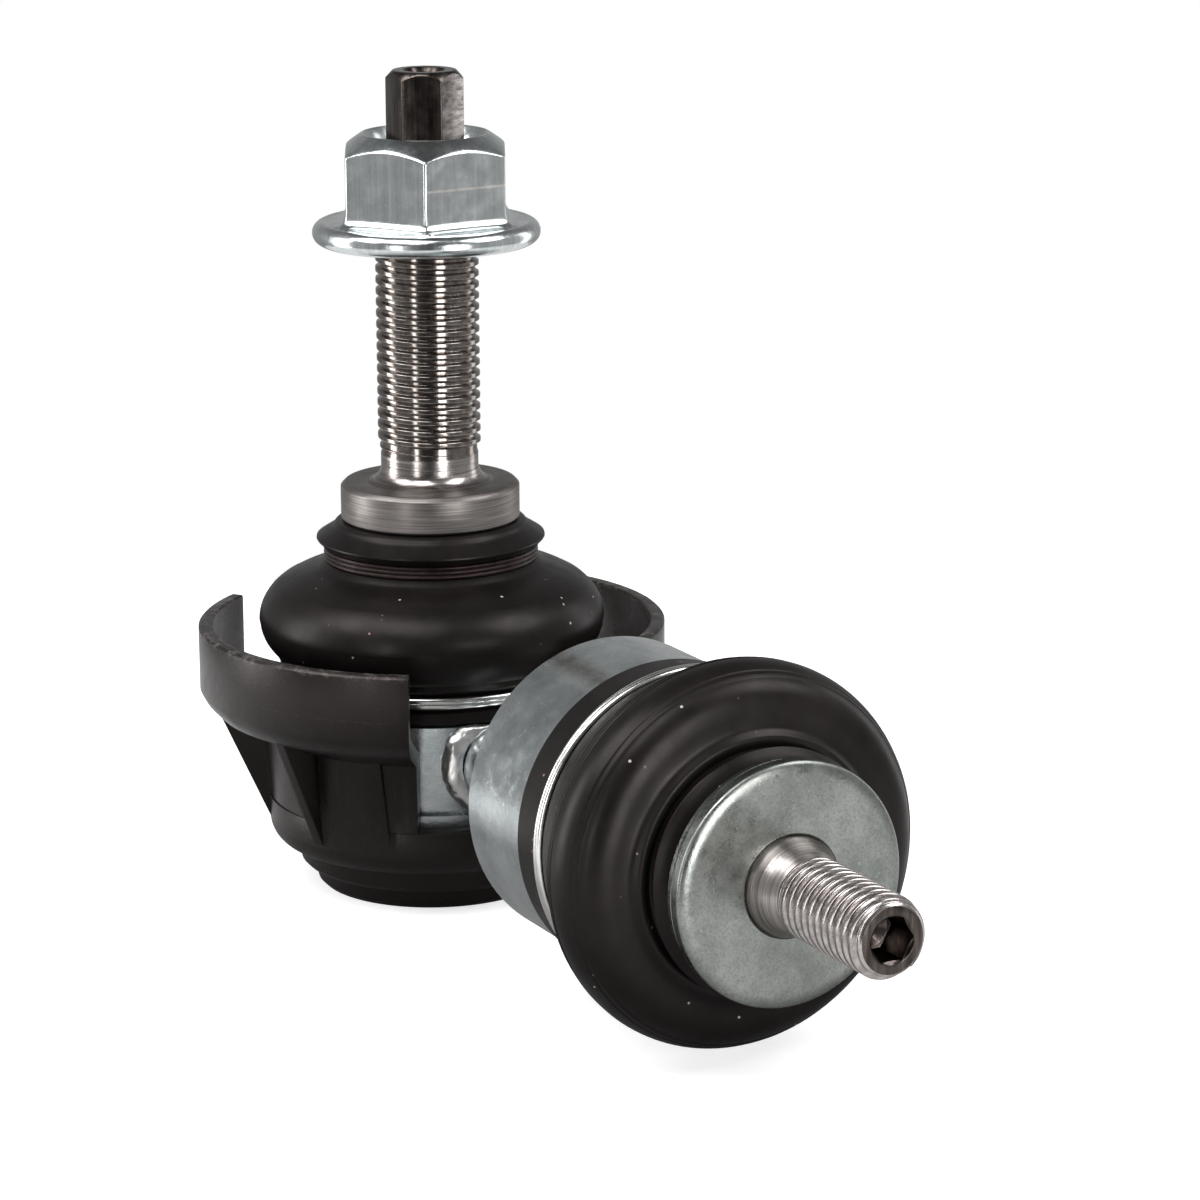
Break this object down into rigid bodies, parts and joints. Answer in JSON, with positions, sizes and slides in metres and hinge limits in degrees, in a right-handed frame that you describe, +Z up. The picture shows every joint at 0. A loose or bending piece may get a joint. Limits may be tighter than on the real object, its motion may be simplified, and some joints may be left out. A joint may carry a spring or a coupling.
{
  "type": "anti-roll bar link",
  "caption": "Short anti-roll bar link with two ball joints at a right angle: the upright one in a moulded guard with a flange nut on its stud, the front one with a washer and a threaded stud",
  "frame": {"origin": "Centre of the upright joint's ball.", "axes": "+Z runs up the upright joint's stud, +X runs along the front joint's stud, and +Y completes a right-handed frame."},
  "size_m": [0.1448, 0.0632, 0.1107],
  "materials": {
    "zinc": "zinc-plated steel, blue-grey and mottled",
    "stud_steel": "bare turned and rolled steel, lightly oiled",
    "rubber": "satin black rubber with a little dust",
    "guard_plastic": "moulded black plastic, worn light at its rim",
    "seat_plastic": "natural acetal",
    "ring_steel": "dark spring steel",
    "wire": "bright drawn wire",
    "weld": "bright weld metal"
  },
  "bodies": {
    "link": {"angle_housing": "zinc", "angle_cover": "zinc", "angle_seat": "seat_plastic", "guard": "guard_plastic", "angle_weld": "weld", "link_rod": "zinc", "axial_weld": "weld", "axial_housing": "zinc", "axial_seat": "seat_plastic", "angle_clamp_ring": "wire", "axial_clamp_ring": "wire"},
    "angle_gaiter": {"angle_boot": "rubber"},
    "angle_collar": {"angle_neck_ring": "ring_steel"},
    "upright_stud": {"angle_stud": "stud_steel"},
    "nut": {"flange_nut": "zinc"},
    "axial_gaiter": {"axial_boot": "rubber"},
    "axial_collar": {"axial_neck_ring": "ring_steel"},
    "front_stud": {"axial_stud": "stud_steel", "stud_washer": "zinc"}
  },
  "joints": [
    {"name": "upright_swing_x", "type": "hinge", "parent": "link", "child": "angle_gaiter", "pos_m": [0, 0, 0], "axis": [1, 0, 0], "range_deg": [-15, 15], "deforming": ["angle_boot"]},
    {"name": "upright_swing_y", "type": "hinge", "parent": "angle_gaiter", "child": "angle_collar", "pos_m": [0, 0, 0], "axis": [0, 1, 0], "range_deg": [-15, 15]},
    {"name": "upright_turn", "type": "hinge", "parent": "angle_collar", "child": "upright_stud", "pos_m": [0, 0, 0], "axis": [0, 0, 1], "continuous": true},
    {"name": "nut_turn", "type": "hinge", "parent": "upright_stud", "child": "nut", "pos_m": [0, 0, 0.069], "axis": [0, 0, 1], "continuous": true},
    {"name": "front_swing_y", "type": "hinge", "parent": "link", "child": "axial_gaiter", "pos_m": [0.065, 0, 0], "axis": [0, 1, 0], "range_deg": [-15, 15], "deforming": ["axial_boot"]},
    {"name": "front_swing_z", "type": "hinge", "parent": "axial_gaiter", "child": "axial_collar", "pos_m": [0.065, 0, 0], "axis": [0, 0, 1], "range_deg": [-15, 15]},
    {"name": "front_turn", "type": "hinge", "parent": "axial_collar", "child": "front_stud", "pos_m": [0.065, 0, 0], "axis": [1, 0, 0], "continuous": true}
  ]
}
